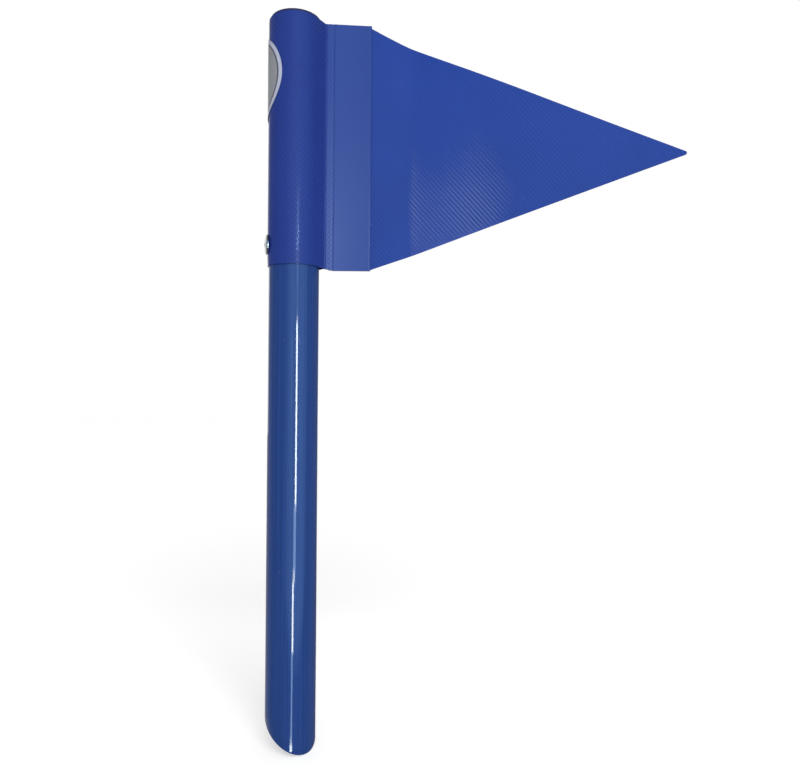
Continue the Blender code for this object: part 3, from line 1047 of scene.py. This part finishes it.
@dataclass
class Pennant(SubAssembly):
    """The triangle whose hoist is tucked between the sleeve's flaps and which leans back beside them."""

    tip_radius: float = 0.0013
    fly: float = 0.2054
    tip_rise: float = 0.0004
    cell: float = 0.0030
    top_lean: Profile = (
        (0.0485, 0.0),
        (0.0580, 0.0030),
        (0.0660, 0.0050),
        (0.0720, 0.0062),
        (0.0760, 0.0064),
        (0.0840, 0.0061),
        (0.0980, 0.0052),
        (0.1150, 0.0042),
        (0.1400, 0.0034),
        (0.1700, 0.0032),
        (0.2050, 0.0030),
        (0.2560, 0.0020),
    )
    bottom_lean: Profile = (
        (0.0485, 0.0),
        (0.0580, 0.0014),
        (0.0660, 0.0028),
        (0.0720, 0.0039),
        (0.0760, 0.0041),
        (0.0840, 0.0039),
        (0.0980, 0.0033),
        (0.1150, 0.0025),
        (0.1400, 0.0019),
        (0.2050, 0.0018),
        (0.2560, 0.0018),
    )

    @property
    def middle(self) -> float:
        """Return the height of the hoist's middle."""
        return (self.sizes.pennant_top + self.sizes.pennant_bottom) / 2

    @property
    def tip_x(self) -> float:
        """Return where the two long edges would meet."""
        return self.sizes.flap_end + self.fly

    def lean(self, line: Profile, x: float) -> float:
        """Return how far one long edge leans back at a place along the pennant, as a curve through its points."""
        padded = [line[0], *line, line[-1]]
        for (x0, y0), (x1, y1), (x2, y2), (x3, y3) in zip(padded, padded[1:], padded[2:], padded[3:]):
            if x <= x2:
                share = (x - x1) / (x2 - x1)
                leave = (y2 - y0) / (x2 - x0) * (x2 - x1)
                arrive = (y3 - y1) / (x3 - x1) * (x2 - x1)
                rise = y2 - y1
                bend = 3 * rise - 2 * leave - arrive
                twist = leave + arrive - 2 * rise
                return y1 + share * (leave + share * (bend + share * twist))
        return line[-1][1]

    def swell(self, x: float, z: float) -> float:
        """Return how far the cloth stands behind its plane: nothing in the flaps, then more at the top edge."""
        if x <= self.sizes.flap_end:
            return 0.0
        half = (self.sizes.pennant_top - self.sizes.pennant_bottom) / 2
        left = max(0.02, 1 - (x - self.sizes.flap_end) / (self.tip_x - self.sizes.flap_end))
        share = max(0.0, min(1.0, 0.5 + 0.5 * (z - self.middle) / (half * left)))
        return self.lean(self.bottom_lean, x) * (1 - share) + self.lean(self.top_lean, x) * share

    def build(self) -> BMesh:
        """Lay out the tongue and the triangle, round the tip, cut them into cells and let the cloth lean."""
        s = self.sizes
        hoist_top = Vector((s.flap_end, 0, s.pennant_top))
        hoist_bottom = Vector((s.flap_end, 0, s.pennant_bottom))
        sharp_tip = Vector((self.tip_x, 0, self.middle))
        bm = bmesh.new()
        own_layer(bm)
        outline = [Vector((s.pennant_inner, 0, s.pennant_bottom)), hoist_bottom]
        outline += arc_corner(hoist_bottom, sharp_tip, hoist_top, self.tip_radius, 8)
        outline += [hoist_top, Vector((s.pennant_inner, 0, s.pennant_top))]
        bm.faces.new([bm.verts.new(point) for point in outline])
        across = Vector((1, 0, 0)), s.pennant_inner, self.tip_x
        upwards = Vector((0, 0, 1)), s.pennant_bottom, s.pennant_top
        for axis, low, high in (across, upwards):
            cuts = round((high - low) / self.cell)
            for cut in range(1, cuts):
                sliced(bm, axis * (low + (high - low) * cut / cuts), axis)
        record_own_place(bm, lambda co: Vector((co.x, co.z, 0)))
        for vert in bm.verts:
            away = smooth_step(vert.co.x, s.flap_end, self.tip_x)
            vert.co.y = self.swell(vert.co.x, vert.co.z)
            vert.co.z += self.tip_rise * away
        bmesh.ops.recalc_face_normals(bm, faces=bm.faces)
        return bm

    def dress(self, sleeve: Object) -> None:
        """Finish the pennant and put it on the frame.

        Args:
            sleeve: the piece that holds its hoist; not used.
        """
        finish = CoatedCloth(
            "Flat coated cloth",
            self.effects,
            colour=display_colour(41, 70, 158),
            gloss=0.09,
            valley_mattness=0.02,
            thread_depth=0.000020,
            slant=1.6,
        )
        piece = finished("pennant_cloth", self.build(), finish.material())
        thicken(piece, self.sizes.cloth, 0.0)
        self.place(piece, "pennant", "pennant_cloth")


@dataclass
class RoundLabel(SubAssembly):
    """The blank round label bent round the sleeve on the side away from the pennant."""

    diameter: float = 0.0540
    thickness: float = 0.0002
    heading: float = radians(160.0)
    below_top: float = 0.0370
    rim: float = 0.0025
    ring: float = 0.0010
    steps: int = 160
    strip: float = 0.0007

    def build(self) -> BMesh:
        """Cut a disc into narrow strips and bend it round the sleeve."""
        radius = self.diameter / 2
        bend = self.sizes.wrap_radius + self.sizes.seat_gap
        height = self.sizes.post_top - self.below_top
        bm = bmesh.new()
        own_layer(bm)
        bmesh.ops.create_circle(bm, cap_ends=True, segments=self.steps, radius=radius)
        cuts = round(self.diameter / self.strip)
        for cut in range(1, cuts):
            sliced(bm, Vector((-radius + self.diameter * cut / cuts, 0, 0)), Vector((1, 0, 0)))
        record_own_place(bm)
        for vert in bm.verts:
            heading = self.heading + vert.co.x / bend
            vert.co = Vector((bend * cos(heading), bend * sin(heading), height + vert.co.y))
        bmesh.ops.recalc_face_normals(bm, faces=bm.faces)
        outward = sum(face.normal.dot(face.calc_center_median().xy.to_3d()) for face in bm.faces)
        if outward < 0:
            bmesh.ops.reverse_faces(bm, faces=bm.faces)
        return bm

    def dress(self) -> None:
        """Finish the label and put it on the frame."""
        finish = LabelFilm(
            "Blank label film",
            self.effects,
            radius=self.diameter / 2,
            rim=self.rim,
            ring=self.ring,
            rim_colour=display_colour(205, 213, 240),
            ring_colour=display_colour(62, 64, 74),
            field_colour=display_colour(162, 164, 174),
        )
        piece = finished("round_label_film", self.build(), finish.material())
        thicken(piece, self.thickness, 1.0)
        self.place(piece, "round_label", "label_film")


@dataclass
class BlindRivet(SubAssembly):
    """The large-flange blind rivet through the sleeve and the post's wall, with its broken mandrel."""

    heading: float = radians(-161.0)
    above_edge: float = 0.0151
    flange_diameter: float = 0.0125
    flange_edge: float = 0.0005
    dome_height: float = 0.0015
    shank_diameter: float = 0.0040
    hole_wall: float = 0.0007
    bulb_diameter: float = 0.0062
    bulb_length: float = 0.0034
    tail_length: float = 0.0012
    head_length: float = 0.0018
    break_depth: float = 0.0006
    steps: int = 64

    @property
    def seat(self) -> float:
        """Return how far from the post's axis the flange sits."""
        return self.sizes.wrap_radius + self.sizes.seat_gap

    @property
    def bulb_top(self) -> float:
        """Return where the bulb bears on the bore, from the post's axis."""
        bore = self.sizes.post_radius - self.sizes.post_wall
        return sqrt(bore ** 2 - (self.bulb_diameter / 2) ** 2) - self.sizes.seat_gap

    def aim(self, bm: BMesh) -> None:
        """Keep each point's own place and turn the piece outwards to its heading."""
        record_own_place(bm)
        height = self.sizes.wrap_bottom + self.above_edge
        turn = Matrix.Rotation(self.heading, 4, "Z") @ Matrix.Rotation(pi / 2, 4, "Y")
        bmesh.ops.transform(bm, matrix=Matrix.Translation((0, 0, height)) @ turn, verts=bm.verts)

    def build_body(self) -> BMesh:
        """Spin the domed flange, the shank, the set bulb and the tail."""
        hole = self.shank_diameter / 2 - self.hole_wall
        shank = self.shank_diameter / 2
        flange = self.flange_diameter / 2
        rim = self.seat + self.flange_edge
        crown = self.dome_height - self.flange_edge
        rings = 14
        profile = [(hole, rim + crown * sqrt(1 - (hole / flange) ** 2) - 0.0002)]
        for ring in range(1, rings):
            radius = hole + 0.0002 + (flange - hole - 0.0002) * sin(pi / 2 * ring / rings)
            profile.append((radius, rim + crown * sqrt(1 - (radius / flange) ** 2)))
        profile += [(flange, rim - 0.0001), (flange, self.seat + 0.0001), (flange - 0.0001, self.seat)]
        profile += [(shank, self.seat), (shank, self.bulb_top)]
        swell = self.bulb_diameter / 2 - shank
        bulb_rings = 14
        for ring in range(1, bulb_rings):
            share = ring / bulb_rings
            profile.append((shank + swell * sin(pi * share) ** 0.5, self.bulb_top - self.bulb_length * share))
        foot = self.bulb_top - self.bulb_length
        profile += [(shank, foot), (shank, foot - self.tail_length), (hole, foot - self.tail_length)]
        bm = spun(profile, self.steps, closed=True)
        self.aim(bm)
        return bm

    def build_mandrel(self) -> BMesh:
        """Spin the broken pin and the head under the rivet's tail."""
        pin = self.shank_diameter / 2 - self.hole_wall - self.sizes.seat_gap
        head = self.shank_diameter / 2
        broken = self.seat + self.dome_height - self.break_depth
        head_top = self.bulb_top - self.bulb_length - self.tail_length - self.sizes.seat_gap
        profile = [(0.0, broken), (pin * 0.6, broken - 0.00005), (pin, broken - self.sizes.seat_gap), (pin, head_top)]
        rings = 10
        for ring in range(rings + 1):
            angle = pi / 2 * ring / rings
            profile.append((head * cos(angle), head_top - self.head_length * sin(angle)))
        profile[-1] = (0.0, profile[-1][1])
        bm = spun(profile, self.steps)
        self.aim(bm)
        return bm

    def dress(self) -> None:
        """Finish the rivet and its mandrel and put them on the frame."""
        bright = TurnedMetal(
            "Bright rivet metal",
            self.effects,
            colour=display_colour(214, 216, 220),
            dull_colour=display_colour(150, 152, 156),
            gloss=0.2,
        )
        steel = TurnedMetal(
            "Broken pin steel",
            self.effects,
            colour=display_colour(140, 141, 145),
            dull_colour=display_colour(84, 84, 88),
            gloss=0.3,
            break_height=self.seat + self.dome_height - self.break_depth,
        )
        body = finished("rivet_body_dressed", self.build_body(), bright.material())
        self.place(body, "rivet_body", "rivet_aluminium")
        mandrel = finished("rivet_mandrel_dressed", self.build_mandrel(), steel.material())
        self.place(mandrel, "rivet_mandrel", "mandrel_steel")


# Camera, lamps and floor


@dataclass(frozen=True)
class PhotoCamera:
    """The camera that sees the flag as the photograph does."""

    place: Vector = Vector((0.0684, -0.4288, 0.2306))
    roll: float = radians(0.5)
    image_width: float = 800.0
    focal_pixels: float = 670.0
    sensor_width: float = 36.0

    def build(self) -> Object:
        """Create the camera and make it the scene's."""
        data = bpy.data.cameras.new("photo_camera")
        data.sensor_fit = "HORIZONTAL"
        data.sensor_width = self.sensor_width
        data.lens = self.sensor_width * self.focal_pixels / self.image_width
        camera = bpy.data.objects.new("photo_camera", data)
        level = Matrix.Rotation(pi / 2, 4, "X")
        rolled = Matrix.Rotation(-self.roll, 4, "Y")
        camera.matrix_world = Matrix.Translation(self.place) @ rolled @ level
        bpy.context.scene.collection.objects.link(camera)
        bpy.context.scene.camera = camera
        return camera


class LampUse(Enum):
    """What a lamp is for."""

    SHINE = "only mirrored in glossy surfaces"
    SHADE = "only lights surfaces softly"


@dataclass(frozen=True)
class Lamp:
    """A rectangular lamp that stands round the post's axis and faces it."""

    name: str
    azimuth: float
    low: float
    high: float
    width: float
    radiance: float
    colour: Colour = (1.0, 1.0, 1.0)
    distance: float = 1.0
    use: LampUse = LampUse.SHINE
    soft_sides: float = 0.0
    soft_ends: float = 0.0
    tilt: float = 0.0
    only_on: str = ""

    # The watts that each square metre of lamp takes for each unit of radiance.
    WATTS_PER_RADIANCE: ClassVar[float] = 1 / 0.3683

    def soften(self, data: bpy.types.AreaLight) -> None:
        """Let the lamp fade towards its edges, as a softbox does.

        Args:
            data: the lamp's own settings, which get nodes.
        """
        data.use_nodes = True
        w = Wiring(data.node_tree)
        across, upwards, _ = w.parts(w.add("ShaderNodeNewGeometry").outputs["Parametric"])
        fade: Socket | float = 1.0
        for place, share in ((across, self.soft_sides), (upwards, self.soft_ends)):
            if share > 0:
                from_edge = w.minus(1.0, w.maths("ABSOLUTE", w.times_plus(place, 2.0, -1.0)))
                fade = w.times(fade, w.rise(from_edge, 0.0, share))
        w.feed(data.node_tree.nodes["Emission"].inputs["Strength"], fade)

    def build(self) -> None:
        """Hang the lamp, unseen by the camera."""
        data = bpy.data.lights.new(self.name, "AREA")
        data.shape = "RECTANGLE"
        data.size = self.width
        data.size_y = self.high - self.low
        data.energy = self.radiance * data.size * data.size_y * self.WATTS_PER_RADIANCE
        data.color = self.colour
        if self.soft_sides > 0 or self.soft_ends > 0:
            self.soften(data)
        lamp = bpy.data.objects.new(self.name, data)
        turn = radians(self.azimuth)
        facing = Matrix.Rotation(turn, 4, "Z") @ Matrix.Rotation(pi / 2, 4, "X")
        place = Vector((self.distance * sin(turn), -self.distance * cos(turn), (self.low + self.high) / 2))
        lamp.matrix_world = Matrix.Translation(place) @ facing @ Matrix.Rotation(radians(self.tilt), 4, "Z")
        lamp.visible_camera = False
        lamp.visible_diffuse = self.use is not LampUse.SHINE
        lamp.visible_glossy = self.use is not LampUse.SHADE
        if self.only_on:
            lit = bpy.data.collections.new(f"lit_by_{self.name}")
            lit.objects.link(bpy.data.objects[self.only_on])
            lamp.light_linking.receiver_collection = lit
        bpy.context.scene.collection.objects.link(lamp)


COOL = (0.45, 0.68, 1.0)
PALE = (0.92, 1.0, 1.0)


@dataclass(frozen=True)
class Studio:
    """The pale floor, the plain surroundings and the lamps.

    The lamps named line_ are mirrored one above another as the tube's pale line. Those with only_on light
    one piece of cloth and nothing else: the sheen on the pennant and the bright marks on the sleeve.
    """

    floor_size: float = 8.0
    floor_drop: float = 0.0004
    floor_colour: float = 0.8
    floor_glow: float = 0.48
    dim_light: float = 0.40
    front_shine: float = 0.08
    left_shine: float = 0.32
    right_shine: float = 0.08
    sun_strength: float = 1.15
    sun_spread: float = radians(28.0)
    sun_azimuth: float = radians(22.0)
    sun_height: float = radians(42.0)
    lamps: tuple[Lamp, ...] = (
        Lamp("line_under_sleeve", 25.0, 0.44, 0.54, 0.08, 3.0, COOL),
        Lamp("line_faint", 25.0, 0.372, 0.44, 0.08, 1.6, COOL),
        Lamp("line_point", 25.5, 0.362, 0.372, 0.06, 12.0, PALE),
        Lamp("line_upper", 24.5, -0.02, 0.358, 0.12, 28.0, PALE),
        Lamp("line_blurred", 21.5, -0.155, -0.02, 0.20, 7.0, COOL),
        Lamp("line_rising", 20.0, -0.18, -0.155, 0.14, 15.0, PALE),
        Lamp("line_lower", 16.0, -0.325, -0.18, 0.12, 24.0, PALE),
        Lamp("line_foot", 14.0, -0.51, -0.325, 0.12, 8.0, COOL),
        Lamp("line_tip", 13.0, -0.56, -0.515, 0.18, 28.0, PALE),
        Lamp("line_beside", 2.5, 0.17, 0.33, 0.06, 1.6, COOL),
        Lamp("band", 26.0, -0.55, 1.40, 3.9, 1.6, (0.33, 0.62, 1.0), 1.3, soft_sides=0.8, soft_ends=0.185),
        Lamp(
            "cloth_gloss", -1.6, 0.655, 0.815, 0.40, 15.0, PALE, 2.0,
            soft_sides=0.5, tilt=-46.7, only_on="pennant_cloth",
        ),
        Lamp("cloth_right", 25.0, 0.45, 0.85, 0.50, 0.4, PALE, soft_sides=0.8, only_on="pennant_cloth"),
        Lamp("sleeve_dots", 21.5, 0.342, 0.372, 0.016, 60.0, COOL, 0.214, only_on="sleeve_cloth"),
        Lamp("sleeve_dots_top", 21.5, 0.372, 0.402, 0.016, 26.0, COOL, 0.214, only_on="sleeve_cloth"),
        Lamp("key", 8.0, 0.30, 0.95, 0.90, 1.50, (1.0, 1.0, 1.0), 1.0, LampUse.SHADE),
        Lamp("back", 200.0, 0.10, 1.00, 1.20, 0.95, (1.0, 1.0, 1.0), 1.3, LampUse.SHINE),
    )

    def world(self) -> None:
        """Light the scene from all round: white to the camera, plain and dim to the object."""
        world = bpy.data.worlds.new("studio_world")
        world.use_nodes = True
        bpy.context.scene.world = world
        w = Wiring(world.node_tree)
        background = world.node_tree.nodes["Background"]
        path = w.add("ShaderNodeLightPath")
        right, back, _ = w.parts(w.add("ShaderNodeTexCoord").outputs["Generated"])
        behind = w.rise(back, 0.93, 0.985)
        seen_in_shine = w.larger(path.outputs["Is Glossy Ray"], path.outputs["Is Transmission Ray"])
        white = w.larger(path.outputs["Is Camera Ray"], w.times(seen_in_shine, behind))
        left = w.times(w.rise(right, -0.5, -0.1, 1.0, 0.0), w.rise(back, -0.3, 0.8))
        other = w.times(w.rise(right, 0.1, 0.5), w.rise(back, -0.1, 0.5))
        sides = w.times_plus(left, self.left_shine, self.front_shine)
        sides = w.times_plus(other, self.right_shine, sides)
        plain = w.times_plus(seen_in_shine, w.minus(sides, self.dim_light), self.dim_light)
        strength = w.times_plus(white, w.minus(1.0, plain), plain)
        w.feed(background.inputs["Color"], (1.0, 1.0, 1.0))
        w.feed(background.inputs["Strength"], strength)

    def sun(self) -> None:
        """Hang a wide, distant lamp that lights the floor evenly and gives the soft shadow."""
        data = bpy.data.lights.new("sun", "SUN")
        data.energy = self.sun_strength
        data.angle = self.sun_spread
        lamp = bpy.data.objects.new("sun", data)
        lamp.rotation_euler = (pi / 2 - self.sun_height, 0.0, self.sun_azimuth)
        lamp.visible_camera = False
        lamp.visible_glossy = False
        bpy.context.scene.collection.objects.link(lamp)

    def floor(self) -> None:
        """Lay the floor just under the foot, white to the camera and still shaded by the object."""
        bm = bmesh.new()
        place = Matrix.Translation((0, 0, -self.floor_drop))
        bmesh.ops.create_grid(bm, x_segments=1, y_segments=1, size=self.floor_size / 2, matrix=place)
        material = bpy.data.materials.new("Pale floor")
        material.use_nodes = True
        w = Wiring(material.node_tree)
        shader = material.node_tree.nodes["Principled BSDF"]
        path = w.add("ShaderNodeLightPath")
        shown = w.larger(path.outputs["Is Glossy Ray"], path.outputs["Is Transmission Ray"])
        shown = w.larger(path.outputs["Is Camera Ray"], shown)
        shader.inputs["Base Color"].default_value = (*[self.floor_colour] * 3, 1.0)
        shader.inputs["Roughness"].default_value = 1.0
        shader.inputs["Specular IOR Level"].default_value = 0.0
        shader.inputs["Emission Color"].default_value = (1.0, 1.0, 1.0, 1.0)
        w.feed(shader.inputs["Emission Strength"], w.times(shown, self.floor_glow))
        floor = finished("studio_floor", bm, material)
        floor.visible_glossy = False
        floor.visible_shadow = False

    def build(self) -> None:
        """Set the view up and build the surroundings."""
        bpy.context.scene.view_settings.view_transform = "Standard"
        self.world()
        self.floor()
        self.sun()
        for lamp in self.lamps:
            lamp.build()


def main() -> None:
    """Build the marker flag, its studio and its camera."""
    logging.basicConfig(level=logging.INFO, format="%(name)s %(message)s")
    effects = Effects.build()
    sizes = SharedSizes.from_frame()
    PhotoCamera().build()
    Post(sizes, effects).dress()
    EndPlug(sizes, effects).dress()
    sleeve = Sleeve(sizes, effects).dress()
    Pennant(sizes, effects).dress(sleeve)
    RoundLabel(sizes, effects).dress()
    BlindRivet(sizes, effects).dress()
    Studio().build()


if __name__ == "__main__":
    main()
